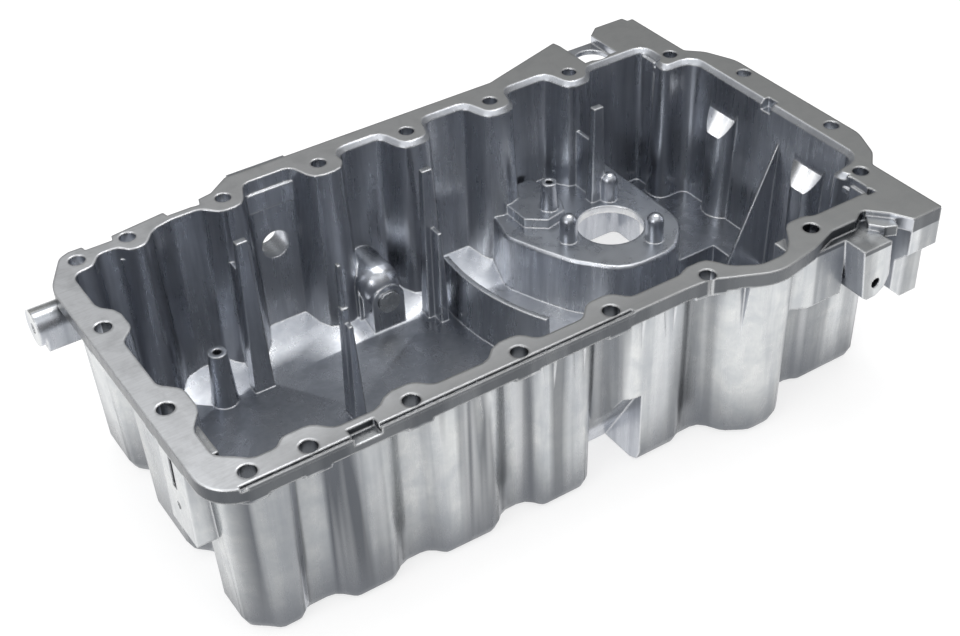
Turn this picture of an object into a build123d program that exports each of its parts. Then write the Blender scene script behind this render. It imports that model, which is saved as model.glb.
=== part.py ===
# Cast aluminium oil pan for a four-cylinder car engine, open side up, with its drain plug.
# Millimetres. The pan is drawn with z = 0 on the machined face that meets the engine block and
# y = 0 midway between the long rows of bolt holes; at the end it is moved so that the origin is
# at the middle of the underside. +X points to the gearbox end, +Z up, open side up.
import math
import os

from build123d import *

os.makedirs("parts", exist_ok=True)

# Driving sizes
DEPTH = 112.0            # block face to the underside of the sump
FLOOR = 5.0              # thickness of the floor
WALL = 4.5               # thickness of the side walls
DRAFT = 2.0              # degrees that each wall leans inward toward the floor
NEAR_DRAFT = 0.3         # the outside of the near wall stands almost upright
FLANGE = 8.0             # thickness of the block flange
ROW = 100.0              # half the distance between the long rows of bolt holes
GEAR_X = 204.0           # plane of the gearbox face
HOLE_R = 4.4             # clearance hole for the M7 flange bolts
FLOOR_Z = FLOOR - DEPTH  # top of the flat floor
ISLAND_Z = -71.0         # top of the raised seat for the oil level sender
SENDER = (118.0, 38.3)   # centre of the sender opening
SENDER_R = 20.2
SENDER_PCD = 58.4
SENDER_SCREWS = [(SENDER[0] + SENDER_PCD / 2 * math.cos(math.radians(a)),
                  SENDER[1] + SENDER_PCD / 2 * math.sin(math.radians(a))) for a in (175, 55, -65)]
LEFT_END = -217.0        # end of the stub, and the three other outermost edges
RIGHT_END = 221.0
FAR_END = 135.5
NEAR_END = -131.5
PIN_TOP = -7.0           # tops of the tall pins that hold the baffle down

# Bolt holes of the block flange
FAR_HOLES = [(-184, 92), (-154.5, 96), (-97.5, ROW), (-39, ROW), (18, ROW), (75, ROW), (132, ROW)]
NEAR_HOLES = [(-182.5, -98.5), (-153.5, -ROW), (-101, -ROW), (-42, -ROW), (11.5, -ROW),
              (67.5, -105), (136, -105)]
END_HOLES = [(194, 81), (214.5, 37), (214.5, -37), (194, -81), (-194.5, 32), (-194.5, -40.5)]
HOLES = FAR_HOLES + NEAR_HOLES + END_HOLES


# Inner edge of the flange, clockwise from above: x, y and corner radius
INNER = [
    (-191, 81, 10), (-179, 82.5, 6), (-173, 90.5, 5), (-161.5, 90.5, 5), (-158, 84, 6),
    (-149, 84, 7), (-141, 94.5, 8), (-129, 97.5, 9), (-112, 97.5, 7), (-104, 88, 8), (-91, 88, 8),
    (-83, 106, 6), (-54, 106, 5), (-48, 87.5, 8), (-30, 87.5, 8),
    (-23, 105.5, 6), (3, 105.5, 5), (9, 87, 8), (27, 87, 8),
    (33, 105.5, 5), (60, 105.5, 5), (66, 87, 8), (84, 87, 8),
    (90, 105.5, 5), (118, 105.5, 5), (123, 87, 8), (138, 87, 8), (145, 97.5, 6),
    (186, 97.5, 6), (186, 83, 5), (181, 79, 6), (181, 69.5, 9), (202, 69.5, 9),
    (202, -69, 9), (180.5, -72, 6), (186, -82, 6), (186, -97.5, 5),
    (145, -97.5, 5), (140, -94.5, 6), (128, -94.5, 7), (119, -107, 10), (111, -114, 12),
    (95, -114, 12), (82, -106, 9), (75, -94, 7), (61, -94, 7), (57, -97, 5), (26, -97, 6),
    (19, -88.5, 8), (5, -88.5, 8), (-3, -97, 6), (-29, -97, 6), (-35, -88.5, 8), (-49, -88.5, 8),
    (-58, -97, 6), (-87, -96.5, 6), (-94, -89, 8), (-108, -89, 8), (-116, -96, 6),
    (-138, -96, 6), (-146, -87.5, 8), (-161, -87.5, 7), (-165, -92.5, 5), (-177, -92.5, 5),
    (-183, -87, 9), (-190.5, -81, 6), (-190.5, -61, 6), (-182, -49, 8), (-182, -32, 8),
    (-191, -23, 6), (-191, 16, 6), (-183, 24, 7), (-183, 40, 8), (-191, 49, 6),
]

# Outer edge of the flange, clockwise from above
OUTER = [
    (-204, 76, 26), (-191, 99, 8), (-185, 101.5, 1), (-177.5, 101.5, 1), (-177, 98, 1),
    (-162, 98, 1), (-161, 102, 1), (-130, 106, 1), (-129, 101.5, 1), (-110.5, 101.5, 1),
    (-109, 106.5, 1), (-101, 108, 3), (-88, 117.5, 3), (87, 117.5, 8),
    (95, 120, 8), (145.5, 135, 1), (146.5, 129, 1), (170, 129, 2), (178, FAR_END, 2),
    (199, FAR_END, 0.8), (200, 131, 0.8), (GEAR_X, 131, 0.8), (GEAR_X, 80, 3),
    (213, 71, 14), (RIGHT_END, 52, 20), (RIGHT_END, -52, 20), (213, -71, 14), (GEAR_X, -80, 3),
    (GEAR_X, -130, 0.8), (184, -130, 1), (178, -119, 2), (168, -108, 4), (160, -113, 4),
    (143, -113, 4), (126, -119, 8), (99, -124.5, 30), (66, -109, 16), (50, -108, 20),
    (-204, -108, 20),
]

# Seat of the oil level sender, clockwise from above, running back into the far wall
ISLAND = [
    (157, 110, 1), (157, 60, 10), (156, 18, 24), (134, -4, 26), (98, -3, 26), (78, 22, 22),
    (68, 44, 14), (60.5, 64, 12), (72, 110, 1),
]


def offset_corners(corners, grow):
    # the same outline moved outward by grow, each corner keeping its own arc centre
    n = len(corners)
    out = []
    for i in range(n):
        px, py, _ = corners[i - 1]
        cx, cy, r = corners[i]
        nx, ny, _ = corners[(i + 1) % n]
        ax, ay = cx - px, cy - py
        bx, by = nx - cx, ny - cy
        la, lb = math.hypot(ax, ay), math.hypot(bx, by)
        ax, ay, bx, by = ax / la, ay / la, bx / lb, by / lb
        turn = ax * by - ay * bx
        # outward is to the left of a clockwise outline
        k = grow / (1 + ax * bx + ay * by)
        ox = cx + k * (-ay - by)
        oy = cy + k * (ax + bx)
        grown = r + grow if turn < 0 else r - grow
        out.append((ox, oy, max(grown, 0.8)))
    return out


def corner_arcs(corners):
    # for each corner of an outline: start and centre of its tangent arc, and the angle it turns
    n = len(corners)
    arcs = []
    for i in range(n):
        px, py, _ = corners[i - 1]
        cx, cy, r = corners[i]
        nx, ny, _ = corners[(i + 1) % n]
        ax, ay = cx - px, cy - py
        bx, by = nx - cx, ny - cy
        la, lb = math.hypot(ax, ay), math.hypot(bx, by)
        ax, ay, bx, by = ax / la, ay / la, bx / lb, by / lb
        turn = math.atan2(ax * by - ay * bx, ax * bx + ay * by)
        half = 0.5 * abs(turn)
        t = min(r * math.tan(half), 0.47 * la, 0.47 * lb)
        r = t / math.tan(half)
        side = 1 if turn > 0 else -1
        start = (cx - t * ax, cy - t * ay)
        centre = (start[0] - side * r * ay, start[1] + side * r * ax)
        arcs.append((start, centre, turn))
    return arcs


def along_arc(arc, z, count):
    # count + 1 points from one end of a corner arc to the other
    start, centre, turn = arc
    sx, sy = start[0] - centre[0], start[1] - centre[1]
    points = []
    for k in range(count + 1):
        a = turn * k / count
        points.append(Vector(centre[0] + sx * math.cos(a) - sy * math.sin(a),
                             centre[1] + sx * math.sin(a) + sy * math.cos(a), z))
    return points


def outline(corners, z):
    # closed wire of straight runs and true corner arcs
    pieces = [along_arc(arc, z, 2) for arc in corner_arcs(corners)]
    edges = []
    for i in range(len(pieces)):
        edges.append(Edge.make_three_point_arc(*pieces[i]))
        edges.append(Edge.make_line(pieces[i][-1], pieces[(i + 1) % len(pieces)][0]))
    return Wire(edges)


def plane_sided(corners, levels, moved=lambda corner, z: corner):
    # solid through the same outline grown by a different amount at each level; every corner arc
    # becomes a few flats, so that a drafted wall is made of plane faces
    counts = []
    for (_, _, turn), (_, _, r) in zip(corner_arcs(corners), corners):
        counts.append(max(1, round(math.degrees(abs(turn)) / (30 if r < 10 else 15))))
    rings = []
    for z, grow in levels:
        level = [moved(corner, z) for corner in offset_corners(corners, grow)]
        ring = []
        for arc, count in zip(corner_arcs(level), counts):
            ring += along_arc(arc, z, count)
        rings.append(ring)
    faces = [Face(Wire.make_polygon(ring, close=True)) for ring in (rings[0], rings[-1])]
    for low, high in zip(rings, rings[1:]):
        for i in range(len(low)):
            a, b, c, d = low[i - 1], low[i], high[i], high[i - 1]
            if abs((b - a).cross(d - a).normalized().dot(c - a)) < 1e-7:
                sides = [(a, b, c, d)]
            else:
                sides = [(a, b, c), (a, c, d)]
            faces += [Face(Wire.make_polygon(side, close=True)) for side in sides]
    return Solid(Shell(faces))


def drafted(corners, grow, top, bottom, fillet, near_draft=DRAFT):
    # solid between two heights whose walls lean inward, with a rounded foot
    lean = math.tan(math.radians(DRAFT))
    less = lean - math.tan(math.radians(near_draft))
    levels = [(top, grow + lean * top)]
    for a in (0, 45, 90):
        s = fillet * (1 - math.cos(math.radians(a)))
        z = bottom + fillet * (1 - math.sin(math.radians(a)))
        levels.append((z, grow + lean * z - s))
    return plane_sided(corners, levels, lambda c, z: (c[0], c[1] + less * z, c[2]) if c[1] < -76 else c)


def upright(x, y, r, z0, z1, r_top=None):
    # round post or hole standing between two heights, tapered if a top radius is given
    r_top = r if r_top is None else r_top
    if abs(r_top - r) < 1e-6:
        post = Solid.make_cylinder(r, z1 - z0)
    else:
        post = Solid.make_cone(r, r_top, z1 - z0)
    return post.moved(Location((x, y, z0)))


def along_y(x, y0, y1, z, r):
    # round bar or hole lying along Y
    return Solid.make_cylinder(r, y1 - y0, Plane(origin=(x, y0, z), z_dir=(0, 1, 0)))


def along_x(x0, x1, y, z, r):
    # round bar or hole lying along X
    return Solid.make_cylinder(r, x1 - x0, Plane(origin=(x0, y, z), z_dir=(1, 0, 0)))


def domed_post(foot, axis, length, r_foot, r):
    # round post whose far end is domed in three steps round a small flat
    profile = Plane.XZ * make_face(Polyline(
        (0, 0), (r_foot, 0), (r, length), (0.87 * r, length + 0.5 * r), (0.57 * r, length + 0.82 * r),
        (0.2 * r, length + 0.98 * r), (0, length + 0.98 * r), (0, 0)))
    turned = revolve(profile, Axis.Z).solid()
    return turned.moved(Plane(origin=foot, z_dir=axis).location)


def block(x0, x1, y0, y1, z0, z1):
    return Solid.make_box(x1 - x0, y1 - y0, z1 - z0).moved(Location((x0, y0, z0)))


def slab_xz(points, y0, y1):
    # plate with an outline in X and Z, from y0 to y1
    face = Face(Wire.make_polygon([(x, y0, z) for x, z in points], close=True))
    return Solid.extrude(face, Vector(0, y1 - y0, 0))


def slab_yz(points, x0, x1):
    # plate with an outline in Y and Z, from x0 to x1
    face = Face(Wire.make_polygon([(x0, y, z) for y, z in points], close=True))
    return Solid.extrude(face, Vector(x1 - x0, 0, 0))


def slab_xy(points, z0, z1):
    # plate with an outline in X and Y, from z0 to z1
    face = Face(Wire.make_polygon([(x, y, z0) for x, y in points], close=True))
    return Solid.extrude(face, Vector(0, 0, z1 - z0))


def blade(x, y, wide, thick, foot_wide, foot_thick, z0, z1):
    # tall pin of rectangular section, thicker at its foot
    low = Wire.make_rect(foot_wide, foot_thick, Plane((x, y, z0)))
    high = Wire.make_rect(wide, thick, Plane((x, y, z1)))
    return Solid.make_loft([low, high], ruled=True)


# Pan body: drafted walls, flat floor with its far strip sloping up, and the block flange
body = drafted(INNER, WALL, 0, -DEPTH, 8, NEAR_DRAFT)
cavity = drafted(INNER, 0, 0, FLOOR_Z, 5)
flange = extrude(Face(outline(OUTER, 0)), FLANGE, dir=(0, 0, -1))
shell = body + flange

# Everything that stands inside the pan, built first and clipped by the outer body
SLOPE_Y = 67.0
rise = (112 - SLOPE_Y) * math.tan(math.radians(15))
strip = slab_yz([(SLOPE_Y, FLOOR_Z - 1), (SLOPE_Y, FLOOR_Z), (112, FLOOR_Z + rise),
                 (112, FLOOR_Z - 1)], -200, 215)

lean = math.tan(math.radians(DRAFT))
seat = plane_sided(ISLAND, [(FLOOR_Z - 1, lean * (ISLAND_Z - FLOOR_Z)), (ISLAND_Z - 1.5, 0),
                            (ISLAND_Z, -1.2)])
step = slab_xy([(75, 100), (75, 66), (86, 57), (100, 60), (104, 68), (104, 100)],
               ISLAND_Z - 1, ISLAND_Z + 6)
plateau = slab_xy([(140, 8), (174, 8), (174, -8), (215, -8), (215, 110), (140, 110)],
                  FLOOR_Z - 1, -92)

inner_parts = [strip, seat, step, plateau]

# Curved wall that keeps oil round the pick-up
CURB_C = (156.6, 52.0)
CURB_R = 135.6
curb_a0 = math.radians(172)
curb_a1 = math.radians(208)


def curb_arc(r, z):
    a0 = Vector(CURB_C[0] + r * math.cos(curb_a0), CURB_C[1] + r * math.sin(curb_a0), z)
    am = 0.5 * (curb_a0 + curb_a1)
    m = Vector(CURB_C[0] + r * math.cos(am), CURB_C[1] + r * math.sin(am), z)
    a1 = Vector(CURB_C[0] + r * math.cos(curb_a1), CURB_C[1] + r * math.sin(curb_a1), z)
    return a0, m, a1


def curb_ring(half, z):
    o0, om, o1 = curb_arc(CURB_R + half, z)
    i0, im, i1 = curb_arc(CURB_R - half, z)
    return Wire([Edge.make_three_point_arc(o0, om, o1), Edge.make_line(o1, i1),
                 Edge.make_three_point_arc(i1, im, i0), Edge.make_line(i0, o0)])


inner_parts.append(Solid.make_loft([curb_ring(3.0, FLOOR_Z - 1), curb_ring(1.6, -73)], ruled=True))

# Tall pins for the baffle, each with a lower web
for px, py in [(-104.4, 67.5), (11, 69), (128, 66.6)]:
    inner_parts.append(blade(px, py, 6.5, 4, 12, 8, FLOOR_Z - 1, PIN_TOP))
inner_parts.append(blade(-103, 80, 2.4, 26, 5, 26, FLOOR_Z - 1, -33))
inner_parts.append(blade(129, 80, 2.4, 26, 5, 26, FLOOR_Z - 1, -33))
inner_parts.append(blade(11.5, 62, 2.4, 8, 5, 10, FLOOR_Z - 1, -45))
inner_parts.append(blade(-73, 19, 1.8, 3, 4, 5, FLOOR_Z - 1, PIN_TOP))
inner_parts.append(blade(-73, 18, 4, 4, 7, 7, FLOOR_Z - 1, -34))
inner_parts.append(blade(-73, 14, 2.4, 6, 7, 9, FLOOR_Z - 1, -43))

# Hollow posts: one on the floor, one on the seat of the sender
inner_parts.append(upright(-127, 68.5, 7.6, FLOOR_Z - 1, -72, 5.4))
inner_parts.append(upright(94.5, 68.2, 6.2, ISLAND_Z, -47, 4.6))

# Blind bosses for the three screws of the sender
for bx, by in SENDER_SCREWS:
    inner_parts.append(domed_post((bx, by, ISLAND_Z - 1), (0, 0, 1), 13.5, 5.4, 5.4))

# Drain boss in the far wall: a domed rib over a round boss that carries the plug thread
PLUG = (-18.5, -86.5)
inner_parts.append(domed_post((PLUG[0], 112, PLUG[1] + 6), (0, -1, 0), 30, 13.0, 12.8))
inner_parts.append(block(PLUG[0] - 13, PLUG[0] + 13, 82, 110, FLOOR_Z, PLUG[1] + 6))
inner_parts.append(along_y(PLUG[0], 70, 100, PLUG[1], 10.5))
inner_parts.append(block(PLUG[0] - 10.5, PLUG[0] + 10.5, 70, 100, FLOOR_Z - 1, PLUG[1]))

# Threaded columns for the gearbox screws, with sloping tops, and the thin web between them
COLUMN_Y = 37.0
for cy in (-COLUMN_Y, COLUMN_Y):
    column = upright(204.5, cy, 12.3, FLOOR_Z - 1, -10)
    roof = slab_xz([(190, -42), (204, -14), (220, -14), (220, 5), (180, 5), (180, -42)],
                   cy - 15, cy + 15)
    inner_parts.append(column - roof)
inner_parts.append(slab_xz([(205, -21), (201, -21), (163, FLOOR_Z), (205, FLOOR_Z)], -11, -9.4))
inner_parts.append(slab_xz([(198, FLOOR_Z), (200, -44), (203, -39), (210, -39), (210, FLOOR_Z)],
                           -25, 25))

# Return bore in the far wall, and the foot that closes over the outside notch
RETURN = (-69.0, -45.0)
NOTCH = (1.0, 32.0)
inner_parts.append(slab_yz([(-100, -58), (-93, -58), (-65, FLOOR_Z), (-65, FLOOR_Z - 1),
                            (-100, FLOOR_Z - 1)], NOTCH[0] - WALL, NOTCH[1] + WALL))

# The parts inside join in one step, cut back to the outer body
fill = inner_parts[0].fuse(*inner_parts[1:]).intersect(body)
shell = shell.cut(cavity).fuse(*fill)

# Gearbox face: two deep ears with bolt holes, one at each side
EAR = [(GEAR_X, -58), (192, -58), (184, -50), (184, -4), (GEAR_X, -4)]
outer_parts = []
outer_parts.append(slab_xz(EAR, -122, -84))
outer_parts.append(slab_xz(EAR, 84, 122))
outer_parts.append(slab_yz([(-130, -1), (-130, -23), (-120, -33), (-110, -33), (-110, -1)], 184, GEAR_X))
outer_parts.append(slab_yz([(131, -1), (131, -23), (120, -33), (110, -33), (110, -1)], 184, GEAR_X))
outer_parts.append(slab_xz([(148.8, -6), (152, -36), (155, -38.4), (161, -38.4), (166.5, -35), (169.5, -28),
                            (168, -6)], NEAR_END, -104))
outer_parts.append(slab_xy([(118, -113), (127, -117.5), (150, -117.5), (150, -98), (118, -98)], -40, -6))
outer_parts.append(slab_xy([(166, -120), (176, -117), (184, -112), (184, -98), (160, -98)], -42, -6))
outer_parts.append(slab_xy([(171, -108), (180, -119), (176.5, -126.5), (170, -123.5), (165, -117)], -9, -3))

# Ledge, oil return boss, plug boss and stub outside the far and left walls
outer_parts.append(block(-82, -46, 104, 131, -20, -8))
outer_parts.append(along_y(RETURN[0], 107.5, 121, RETURN[1], 13))
outer_parts.append(along_y(PLUG[0], 98, 114, PLUG[1], 13))
STUB = (78.0, -20.0)
outer_parts.append(along_x(LEFT_END, -188, STUB[0], STUB[1], 10))
outer_parts.append(block(LEFT_END + 3, -188, STUB[0] - 10, STUB[0] + 3, STUB[1] - 10, STUB[1]))
outer_parts.append(block(-204, -186, -76, -50, -54, -4))

# Round pads under the flange bolts, kept within the flange
pads = [upright(hx, hy, 10.2, -FLANGE - 2, -FLANGE + 1) for hx, hy in HOLES]
rim = extrude(Face(outline(OUTER, 0)), FLANGE + 3, dir=(0, 0, -1))
outer_parts += list(pads[0].fuse(*pads[1:]).intersect(rim))

shell = shell.fuse(*outer_parts)

# Small lug at the top of the notch
shell = shell.fuse(upright(NOTCH[1] - 3.5, -70, 3, -DEPTH, FLOOR_Z))

# Cuts that leave the outside as cast: notch under the near wall, sender pocket from below
cuts = []
cuts.append(slab_yz([(-112, -62), (-98, -64), (-71, -DEPTH - 1), (-112, -DEPTH - 1)], *NOTCH))
HOLLOW = [(157, 82, 8)] + ISLAND[2:-2] + [(61.5, 64, 10), (66, 82, 8)]
cuts.append(plane_sided(HOLLOW, [(-DEPTH - 1, 1 - WALL), (ISLAND_Z - 5, -0.5 - WALL)]))


# Narrow wedges beside the bolt channels of the near wall, widest under the flange
for hx, hy in NEAR_HOLES[3:6]:
    for wx in (hx - 19.5, hx + 16.5):
        wy = -114.2 if wx > 80 else -103.2
        cuts.append(blade(wx, wy, 8.4, 7, 0.4, 0.4, -58, -FLANGE + 0.5))

# Machining
for hx, hy in HOLES:
    cuts.append(upright(hx, hy, HOLE_R, -FLANGE - 3, 1))
cuts.append(upright(SENDER[0], SENDER[1], SENDER_R, ISLAND_Z - 6, ISLAND_Z + 1))
cuts.append(along_y(RETURN[0], 90, 125, RETURN[1], 8.5))
cuts.append(along_y(PLUG[0], 60, 120, PLUG[1], 7))
cuts.append(upright(-127, 68.5, 2.5, -90, -71))
cuts.append(upright(94.5, 68.2, 2.3, -66, -46))
for bx, by in SENDER_SCREWS:
    cuts.append(upright(bx, by, 2.5, ISLAND_Z - 6, ISLAND_Z + 9))
for cy in (-COLUMN_Y, COLUMN_Y):
    cuts.append(along_x(195.5, 215, cy, -38, 3.4))
for ey in (-108, 108):
    cuts.append(along_x(180, 210, ey, -42, 5.3))
cuts.append(along_x(LEFT_END - 1, -205, STUB[0], STUB[1], 3))
cuts.append(block(-206, -192, -64, -59, -27, -9))
cuts.append(along_x(-206, -192, -62, -38, 2.2))
cuts.append(along_y(160.2, -132, -118, -29.6, 3))
cuts.append(upright(158, 112, 11, -40, 0))
cuts.append(block(146.5, 170, 103, 130, -5, 1))
cuts.append(block(199, 207.5, -1, 7, -6, 1))
cuts.append(block(181, 186.5, -100, -95.5, -5, 1))
cuts.append(block(-190, 20, -107.4, -105.2, -2, 1))
cuts.append(block(-135, -121, -109, -100.5, -4, 1))

# Bevel of the inner edge round the gearbox half
bevel = plane_sided(INNER, [(-2.5, 0), (0.1, 2.6)])
cuts.append(bevel & block(-27, 230, -80, 120, -3, 1))
shell = shell.cut(*cuts)


# Drain plug: hexagon head, collar and shank, drawn along Y and passing through the far wall
PLUG_FACE = 114.0        # outer face of the plug boss
WASHER_T = 1.5
washer = along_y(PLUG[0], PLUG_FACE, PLUG_FACE + WASHER_T, PLUG[1], 11)
washer = washer.cut(along_y(PLUG[0], PLUG_FACE - 1, PLUG_FACE + 3, PLUG[1], 7.1))
head_y = PLUG_FACE + WASHER_T
plug = along_y(PLUG[0], 68, head_y, PLUG[1], 6.85)
plug = plug.fuse(along_y(PLUG[0], head_y, head_y + 2.5, PLUG[1], 11))
hexagon = Plane(origin=(PLUG[0], head_y + 2, PLUG[1]), z_dir=(0, 1, 0)) * RegularPolygon(11, 6)
plug = plug.fuse(extrude(hexagon, 8.5).solid())

# Origin at the middle of the underside
place = Location((-(LEFT_END + RIGHT_END) / 2, -(FAR_END + NEAR_END) / 2, DEPTH))


def hand_over(shape, name):
    # one clean solid, moved into the shared frame and written out
    solid = shape.solids().sort_by(SortBy.VOLUME)[-1].moved(place)
    solid.label = name
    box = solid.bounding_box()
    print(name, solid.is_valid, round(solid.volume / 1000, 1), "cm3", len(solid.faces()), "faces",
          box.min, box.max)
    export_step(solid, "parts/" + name + ".step")


hand_over(shell, "PAN_CASTING")
hand_over(plug, "DRAIN_PLUG")
hand_over(washer, "PLUG_WASHER")
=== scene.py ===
import math

import bpy
from mathutils import Matrix, Vector

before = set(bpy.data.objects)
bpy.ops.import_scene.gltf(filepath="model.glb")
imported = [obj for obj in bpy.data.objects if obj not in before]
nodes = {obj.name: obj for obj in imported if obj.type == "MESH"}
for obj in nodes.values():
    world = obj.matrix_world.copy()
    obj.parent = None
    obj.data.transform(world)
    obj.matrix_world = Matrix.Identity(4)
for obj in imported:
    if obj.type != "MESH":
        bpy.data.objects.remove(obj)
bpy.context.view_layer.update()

scene = bpy.context.scene

# Places on the casting, in metres
BLOCK_FACE = 0.112
FLANGE_FOOT = 0.1032
INNER_X = 0.182
INNER_Y = 0.084
NEAR_WALL = -0.085
SENDER_X, SENDER_Y = 0.116, 0.0363
SENDER_BORE = 0.0207
SENDER_POCKET = 0.0367
SEAT_UNDERSIDE = 0.0372
COLUMN_Y = 0.037
COLUMNS_FROM = 0.170

SMOOTH_ANGLE = math.radians(33)
FLOOR_HALF = 6.0
FLOOR_DROP = 0.0002
FLOOR_GLOW = 0.72


# Small helpers for building node materials
class Mat:
    def __init__(self, name):
        self.mat = bpy.data.materials.new(name)
        self.mat.use_nodes = True
        self.nt = self.mat.node_tree
        self.nt.nodes.clear()
        self.out = self.nt.nodes.new("ShaderNodeOutputMaterial")
        self.coord = self.nt.nodes.new("ShaderNodeTexCoord").outputs["Object"]

    def link(self, a, b):
        self.nt.links.new(a, b)

    def put(self, socket, value):
        if hasattr(value, "links"):
            self.link(value, socket)
        else:
            socket.default_value = value

    def math(self, op, a, b=0.0):
        n = self.nt.nodes.new("ShaderNodeMath")
        n.operation = op
        self.put(n.inputs[0], a)
        self.put(n.inputs[1], b)
        return n.outputs[0]

    def size(self, a):
        return self.math("ABSOLUTE", a)

    def times(self, first, *others):
        for other in others:
            first = self.math("MULTIPLY", first, other)
        return first

    def either(self, first, *others):
        for other in others:
            first = self.math("MAXIMUM", first, other)
        return first

    def dot(self, a, b):
        n = self.nt.nodes.new("ShaderNodeVectorMath")
        n.operation = "DOT_PRODUCT"
        self.link(a, n.inputs[0])
        self.link(b, n.inputs[1])
        return n.outputs["Value"]

    def xyz(self, vec):
        n = self.nt.nodes.new("ShaderNodeSeparateXYZ")
        self.link(vec, n.inputs[0])
        return n.outputs

    def vector(self, x, y, z):
        n = self.nt.nodes.new("ShaderNodeCombineXYZ")
        for socket, value in zip(n.inputs, (x, y, z)):
            self.put(socket, value)
        return n.outputs[0]

    def noise(self, scale, detail=4.0, rough=0.55, distort=0.0, stretch=(1, 1, 1), turn=0.0):
        # stretch under 1 draws the pattern out along that axis, after a turn about the vertical
        place = self.nt.nodes.new("ShaderNodeMapping")
        self.link(self.coord, place.inputs["Vector"])
        place.inputs["Scale"].default_value = stretch
        place.inputs["Rotation"].default_value = (0, 0, turn)
        n = self.nt.nodes.new("ShaderNodeTexNoise")
        self.link(place.outputs[0], n.inputs["Vector"])
        n.inputs["Scale"].default_value = scale
        n.inputs["Detail"].default_value = detail
        n.inputs["Roughness"].default_value = rough
        n.inputs["Distortion"].default_value = distort
        return n.outputs["Fac"]

    def step(self, value, lo, hi, to_lo=0.0, to_hi=1.0):
        n = self.nt.nodes.new("ShaderNodeMapRange")
        n.clamp = True
        self.put(n.inputs["Value"], value)
        n.inputs["From Min"].default_value = lo
        n.inputs["From Max"].default_value = hi
        n.inputs["To Min"].default_value = to_lo
        n.inputs["To Max"].default_value = to_hi
        return n.outputs[0]

    def mix(self, fac, a, b):
        n = self.nt.nodes.new("ShaderNodeMix")
        n.data_type = "RGBA"
        self.put(n.inputs["Factor"], fac)
        for socket, value in ((n.inputs[6], a), (n.inputs[7], b)):
            if isinstance(value, tuple):
                socket.default_value = (*value, 1.0)
            else:
                self.link(value, socket)
        return n.outputs[2]

    def mix_normals(self, fac, a, b):
        n = self.nt.nodes.new("ShaderNodeMix")
        n.data_type = "VECTOR"
        self.put(n.inputs["Factor"], fac)
        self.link(a, n.inputs[4])
        self.link(b, n.inputs[5])
        unit = self.nt.nodes.new("ShaderNodeVectorMath")
        unit.operation = "NORMALIZE"
        self.link(n.outputs[1], unit.inputs[0])
        return unit.outputs[0]

    def bump(self, height, strength, distance, normal=None):
        n = self.nt.nodes.new("ShaderNodeBump")
        n.inputs["Strength"].default_value = strength
        n.inputs["Distance"].default_value = distance
        self.link(height, n.inputs["Height"])
        if normal is not None:
            self.link(normal, n.inputs["Normal"])
        return n.outputs[0]

    def crevice(self, distance, samples=8):
        # 0 in the open, up to 1 deep in a channel or under a ledge
        n = self.nt.nodes.new("ShaderNodeAmbientOcclusion")
        n.samples = samples
        n.inputs["Distance"].default_value = distance
        return self.math("SUBTRACT", 1.0, n.outputs["AO"])

    def soft_edges(self, radius, samples=6):
        n = self.nt.nodes.new("ShaderNodeBevel")
        n.samples = samples
        n.inputs["Radius"].default_value = radius
        return n.outputs[0]

    def shader(self, color, metallic, rough, normal=None):
        n = self.nt.nodes.new("ShaderNodeBsdfPrincipled")
        if isinstance(color, tuple):
            color = (*color, 1.0)
        self.put(n.inputs["Base Color"], color)
        self.put(n.inputs["Metallic"], metallic)
        self.put(n.inputs["Roughness"], rough)
        if normal is not None:
            self.link(normal, n.inputs["Normal"])
        self.link(n.outputs[0], self.out.inputs["Surface"])
        return n


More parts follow.
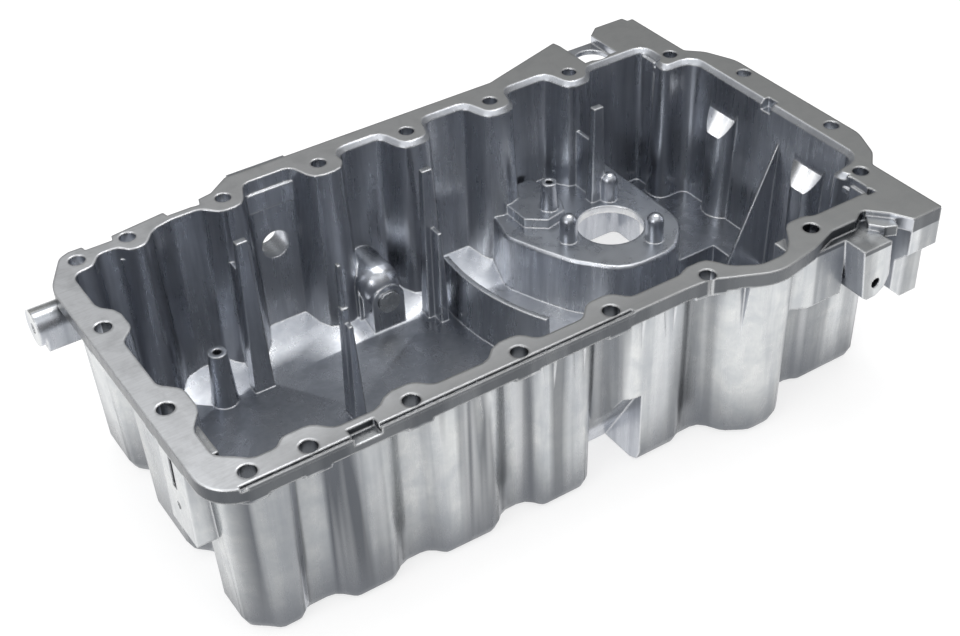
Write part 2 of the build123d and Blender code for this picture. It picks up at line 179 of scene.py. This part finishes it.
# The alloy: one material, with a mask for each kind of face
class CastAlloy(Mat):
    def __init__(self):
        super().__init__("die_cast_alloy")
        self.x, self.y, self.z = self.xyz(self.coord)
        self.true_normal = self.nt.nodes.new("ShaderNodeNewGeometry").outputs["Normal"]
        self.nx, self.ny, self.nz = self.xyz(self.true_normal)
        self.flat = self.step(self.size(self.nz), 0.6, 0.85)
        self.broad = self.noise(60.0, 4.0, 0.6, stretch=(1.0, 1.0, 0.1))
        self.mottle = self.noise(90.0, 6.0, 0.62, 0.4)
        self.blotches = self.step(self.mottle, 0.35, 0.68)
        # draw marks run up the walls, where the tool was pulled out
        streak = self.noise(260.0, 3.0, 0.5, stretch=(1.0, 1.0, 0.08))
        self.marks = self.mix(self.flat, self.mix(0.3, streak, self.mottle), self.mottle)
        # the sloping tops of the two threaded columns
        roofs = self.times(self.step(self.nx, -0.84, -0.88), self.step(self.nz, 0.40, 0.43))
        self.roofs = self.times(roofs, self.step(self.x, COLUMNS_FROM, COLUMNS_FROM + 0.005))
        # machined faces that look up at the level of the block face
        level = self.step(self.z, BLOCK_FACE - 0.0008, BLOCK_FACE - 0.0004)
        self.top = self.times(self.step(self.nz, 0.93, 0.98), level)

    def inside(self):
        # faces that look toward the pan's middle, and all that stands inside its walls
        toward = self.math("ADD", self.times(self.x, self.nx), self.times(self.y, self.ny))
        facing = self.step(toward, -0.004, -0.012)
        across = self.step(self.size(self.y), INNER_Y + 0.004, INNER_Y)
        box = self.times(self.step(self.size(self.x), INNER_X + 0.004, INNER_X), across)
        # the sides of the bays in the far wall and at the gearbox end face every way
        far_bays = self.times(self.step(self.y, INNER_Y - 0.004, INNER_Y), self.step(self.ny, 0.4, 0.3))
        end_bays = self.times(self.step(self.x, INNER_X - 0.004, INNER_X), self.step(self.nx, 0.4, 0.3))
        end_bays = self.times(end_bays, self.step(self.size(self.y), INNER_Y, INNER_Y - 0.004))
        return self.either(facing, box, far_bays, end_bays)

    def painted_highlights(self):
        # painted highlights: the strip that slopes up to the far wall is painted near white, as are the
        # columns' tops
        strip = self.times(self.step(self.ny, -0.18, -0.24), self.step(self.nz, 0.88, 0.93))
        # painted highlight: the hollow of the floor behind the curb is painted brighter toward the far wall
        hollow = self.times(self.step(self.x, 0.018, 0.024), self.step(self.x, 0.085, 0.070))
        hollow = self.times(hollow, self.flat, self.step(self.z, 0.030, 0.020))
        hollow = self.times(hollow, self.step(self.y, -0.035, 0.050, 0.0, 0.9))
        return self.either(strip, self.roofs, hollow)

    def sender_opening(self):
        # its bore, and the pocket below it, are machined, and both are painted near white as painted light
        across = self.math("SUBTRACT", self.x, SENDER_X)
        deep = self.math("SUBTRACT", self.y, SENDER_Y)
        away = self.math("ADD", self.times(across, across), self.times(deep, deep))
        upright = self.step(self.size(self.nz), 0.5, 0.3)
        bore = self.times(self.step(away, (SENDER_BORE + 0.0005) ** 2, SENDER_BORE ** 2), upright)
        under = self.step(self.z, SEAT_UNDERSIDE + 0.0004, SEAT_UNDERSIDE)
        pocket = self.times(self.step(away, (SENDER_POCKET + 0.0007) ** 2, SENDER_POCKET ** 2), under)
        return self.times(self.either(bore, pocket), self.step(self.mottle, 0.35, 0.68, 0.8, 1.0))

    def inner_skin(self):
        marks = self.step(self.marks, 0.35, 0.68)
        walls = self.mix(marks, (0.44, 0.46, 0.505), (0.60, 0.62, 0.665))
        walls = self.mix(self.step(self.broad, 0.40, 0.66, 0.0, 0.6), walls, (0.77, 0.79, 0.83))
        # painted shade: floors below 30 mm are much darker than the walls, flats above 36 mm a lighter grey
        floors = self.mix(marks, (0.19, 0.203, 0.225), (0.28, 0.293, 0.315))
        floors = self.mix(self.step(self.z, 0.03, 0.036), floors, (0.40, 0.42, 0.45))
        skin = self.mix(self.flat, walls, floors)
        # painted highlight colour for the strip, the columns' tops and the hollow
        bright = self.mix(self.blotches, (0.74, 0.76, 0.79), (0.97, 0.98, 0.99))
        skin = self.mix(self.painted_highlights(), skin, bright)
        # painted light: the sender's bore and pocket are near white
        return self.mix(self.sender_opening(), skin, (0.97, 0.97, 0.97))

    def outer_skin(self):
        skin = self.mix(self.blotches, (0.58, 0.60, 0.615), (0.72, 0.73, 0.725))
        skin = self.mix(self.step(self.broad, 0.45, 0.60, 0.0, 0.55), skin, (0.40, 0.42, 0.45))
        # painted reflections on the near wall: wide dark bands and bright streaks, with painted shade,
        # strongest at its left end
        near = self.step(self.y, NEAR_WALL, NEAR_WALL - 0.010)
        bands = self.noise(38.0, 2.0, 0.5, stretch=(1.0, 1.0, 0.05))
        painted_dark_bands = self.times(self.step(bands, 0.45, 0.53), self.step(self.x, -0.12, 0.08, 0.9, 0.45), near)
        skin = self.mix(painted_dark_bands, skin, (0.07, 0.076, 0.088))
        painted_highlight_lines = self.noise(85.0, 2.0, 0.5, 0.3, stretch=(1.0, 1.0, 0.03))
        skin = self.mix(self.times(near, self.step(painted_highlight_lines, 0.54, 0.68, 0.0, 0.5)), skin, (0.82, 0.83, 0.84))
        left_end_shade = self.step(self.x, -0.06, -0.20, 0.0, 0.6)
        skin = self.mix(self.times(near, left_end_shade), skin, (0.12, 0.13, 0.148))
        # painted shade: darker in channels and under ledges such as the flange
        skin = self.mix(self.step(self.crevice(0.05), 0.12, 0.5, 0.0, 0.85), skin, (0.15, 0.16, 0.18))
        # the edge of the flange, below its milled face, is dark and rough
        rim = self.times(self.step(self.z, FLANGE_FOOT, FLANGE_FOOT + 0.0004), self.step(self.nz, 0.5, 0.2))
        return self.mix(self.times(rim, 0.88), skin, (0.09, 0.096, 0.105))

    def milled_face(self):
        # painted reflection, from pale at the left to a warmer grey at the gearbox end, and painted shade,
        # duller along the near rail
        face = self.mix(self.step(self.x, -0.20, -0.09), (0.92, 0.94, 0.97), (0.60, 0.61, 0.62))
        face = self.mix(self.step(self.x, -0.06, 0.16), face, (0.46, 0.47, 0.47))
        near_rail_shade = self.times(self.step(self.y, -0.090, -0.105), self.step(self.x, -0.20, -0.16))
        near_rail_shade = self.times(near_rail_shade, self.step(self.x, 0.10, 0.03))
        face = self.mix(self.times(near_rail_shade, 0.55), face, (0.28, 0.285, 0.29))
        scratch = self.noise(900.0, 3.0, 0.6, stretch=(0.06, 1.0, 1.0), turn=0.5)
        face = self.mix(self.step(scratch, 0.3, 0.75, 0.0, 0.25), face, (0.50, 0.50, 0.50))
        return self.mix(self.step(self.mottle, 0.45, 0.72, 0.0, 0.35), face, (0.36, 0.37, 0.38))

    def build(self):
        soft = self.soft_edges(0.0018)
        # painted highlight: edges and small fillets, where the rounded shading turns from the true face,
        # are painted bright
        edge = self.step(self.dot(soft, self.true_normal), 0.985, 0.82)
        skin = self.mix(self.inside(), self.outer_skin(), self.inner_skin())
        # painted highlight along edges and small fillets
        skin = self.mix(self.times(edge, 0.75), skin, (0.88, 0.89, 0.90))
        color = self.mix(self.top, skin, self.milled_face())
        cast = self.times(self.step(self.marks, 0.3, 0.7, 0.36, 0.22), self.math("SUBTRACT", 1.0, self.top))
        rough = self.math("ADD", cast, self.times(self.top, 0.30))
        # the columns' tops are rounded, so their shading turns across them
        beside = self.math("SUBTRACT", self.y, self.times(self.math("SIGN", self.y), COLUMN_Y))
        sideways = self.math("ADD", self.times(beside, 62.0), -0.16)
        soft = self.mix_normals(self.roofs, soft, self.vector(-0.35, sideways, 0.85))
        grain = self.noise(1300.0, 3.0, 0.6)
        height = self.math("ADD", self.marks, self.times(grain, 0.8))
        self.shader(color, 1.0, rough, self.bump(height, 0.11, 0.0004, soft))
        return self.mat


def plug_steel():
    m = Mat("zinc_plated_steel")
    turned = m.noise(700.0, 3.0, 0.6, stretch=(1.0, 0.08, 1.0))
    blot = m.noise(160.0, 4.0, 0.6)
    color = m.mix(m.step(blot, 0.35, 0.7), (0.50, 0.51, 0.52), (0.80, 0.81, 0.81))
    normal = m.bump(turned, 0.25, 0.0003, m.soft_edges(0.0004))
    m.shader(color, 1.0, m.step(blot, 0.3, 0.7, 0.34, 0.24), normal)
    return m.mat


def soft_ring():
    m = Mat("soft_seal_ring")
    blot = m.noise(260.0, 4.0, 0.6)
    color = m.mix(m.step(blot, 0.35, 0.7), (0.60, 0.60, 0.60), (0.78, 0.78, 0.77))
    m.shader(color, 1.0, m.step(blot, 0.3, 0.7, 0.45, 0.35), m.bump(blot, 0.2, 0.0002))
    return m.mat


def paint(obj, mat):
    if not obj.material_slots:
        obj.data.materials.append(mat)
    for slot in obj.material_slots:
        slot.material = mat


def smooth_round_faces(obj, angle):
    # joins the corners of the solid's faces, and shades it smooth where they meet at a small angle
    weld = obj.modifiers.new("weld", "WELD")
    weld.merge_threshold = 1e-6
    group = bpy.data.node_groups.new("smooth_by_angle", "GeometryNodeTree")
    for way in ("INPUT", "OUTPUT"):
        group.interface.new_socket("Geometry", in_out=way, socket_type="NodeSocketGeometry")
    gin = group.nodes.new("NodeGroupInput")
    gout = group.nodes.new("NodeGroupOutput")
    faces = group.nodes.new("GeometryNodeSetShadeSmooth")
    faces.domain = "FACE"
    edges = group.nodes.new("GeometryNodeSetShadeSmooth")
    edges.domain = "EDGE"
    turn = group.nodes.new("GeometryNodeInputMeshEdgeAngle")
    small = group.nodes.new("FunctionNodeCompare")
    small.operation = "LESS_THAN"
    small.inputs[1].default_value = angle
    group.links.new(turn.outputs["Unsigned Angle"], small.inputs[0])
    group.links.new(small.outputs[0], edges.inputs["Shade Smooth"])
    group.links.new(gin.outputs[0], faces.inputs[0])
    group.links.new(faces.outputs[0], edges.inputs[0])
    group.links.new(edges.outputs[0], gout.inputs[0])
    obj.modifiers.new("smooth_by_angle", "NODES").node_group = group


# White to the camera and to reflections, and it keeps the object's shadow
def pale_floor():
    m = Mat("pale_floor")
    surface = m.shader((0.42, 0.42, 0.42), 0.0, 0.9)
    glow = m.nt.nodes.new("ShaderNodeEmission")
    glow.inputs["Color"].default_value = (1.0, 1.0, 1.0, 1.0)
    path = m.nt.nodes.new("ShaderNodeLightPath")
    seen = m.either(path.outputs["Is Camera Ray"], path.outputs["Is Glossy Ray"])
    m.link(m.times(seen, FLOOR_GLOW), glow.inputs["Strength"])
    add = m.nt.nodes.new("ShaderNodeAddShader")
    m.link(surface.outputs[0], add.inputs[0])
    m.link(glow.outputs[0], add.inputs[1])
    m.link(add.outputs[0], m.out.inputs["Surface"])
    return m.mat


def studio_floor():
    h = FLOOR_HALF
    mesh = bpy.data.meshes.new("studio_floor")
    mesh.from_pydata([(-h, -h, 0), (h, -h, 0), (h, h, 0), (-h, h, 0)], [], [(0, 1, 2, 3)])
    mesh.materials.append(pale_floor())
    obj = bpy.data.objects.new("studio_floor", mesh)
    obj.location.z = -FLOOR_DROP
    scene.collection.objects.link(obj)
    return obj


# Pale light, brightest high up and softer straight overhead
def studio_sky():
    world = bpy.data.worlds.new("studio")
    scene.world = world
    world.use_nodes = True
    tree = world.node_tree
    background = tree.nodes["Background"]
    background.inputs["Color"].default_value = (1.0, 1.0, 1.0, 1.0)
    sky = tree.nodes.new("ShaderNodeTexCoord")
    height = tree.nodes.new("ShaderNodeSeparateXYZ")
    tree.links.new(sky.outputs["Generated"], height.inputs[0])
    level = tree.nodes.new("ShaderNodeMath")
    level.operation = "MULTIPLY"
    for factor, (start, end, low, high) in enumerate(((0.62, 0.88, 0.33, 1.5), (0.90, 0.98, 1.0, 0.6))):
        rise = tree.nodes.new("ShaderNodeMapRange")
        rise.interpolation_type = "SMOOTHSTEP"
        rise.inputs["From Min"].default_value = start
        rise.inputs["From Max"].default_value = end
        rise.inputs["To Min"].default_value = low
        rise.inputs["To Max"].default_value = high
        tree.links.new(height.outputs["Z"], rise.inputs["Value"])
        tree.links.new(rise.outputs[0], level.inputs[factor])
    tree.links.new(level.outputs[0], background.inputs["Strength"])


def lamp(name, where, target, size, power):
    data = bpy.data.lights.new(name, "AREA")
    data.shape = "RECTANGLE"
    data.size, data.size_y = size
    data.energy = power
    obj = bpy.data.objects.new(name, data)
    obj.location = where
    obj.rotation_euler = (Vector(target) - Vector(where)).to_track_quat("-Z", "Y").to_euler()
    scene.collection.objects.link(obj)


def camera(place, yaw, pitch, roll, lens):
    yaw, pitch, roll = (math.radians(a) for a in (yaw, pitch, roll))
    ahead = Vector((math.sin(yaw) * math.cos(pitch), math.cos(yaw) * math.cos(pitch), -math.sin(pitch)))
    level = Vector((math.cos(yaw), -math.sin(yaw), 0))
    upright = level.cross(ahead)
    right = math.cos(roll) * level + math.sin(roll) * upright
    up = -math.sin(roll) * level + math.cos(roll) * upright
    data = bpy.data.cameras.new("camera")
    data.sensor_width = 36.0
    data.lens = lens
    data.clip_start = 0.01
    obj = bpy.data.objects.new("camera", data)
    obj.matrix_world = Matrix.Translation(place) @ Matrix((right, up, -ahead)).transposed().to_4x4()
    scene.collection.objects.link(obj)
    return obj


for node in nodes.values():
    smooth_round_faces(node, SMOOTH_ANGLE)
paint(nodes["PAN_CASTING"], CastAlloy().build())
paint(nodes["DRAIN_PLUG"], plug_steel())
paint(nodes["PLUG_WASHER"], soft_ring())

floor = studio_floor()
studio_sky()
middle = (0, 0, 0.05)
lamp("key", (0.45, 0.25, 1.6), middle, (0.6, 0.5), 5.0)
lamp("side", (-1.4, -0.5, 0.9), middle, (0.9, 0.8), 6.0)
# the photograph's angle, from a fit to the flange holes
scene.camera = camera((-0.3546, -0.5654, 0.5702), 32.02, 38.11, -2.28, 58.05)

scene.view_settings.view_transform = "Standard"

bpy.context.view_layer.update()
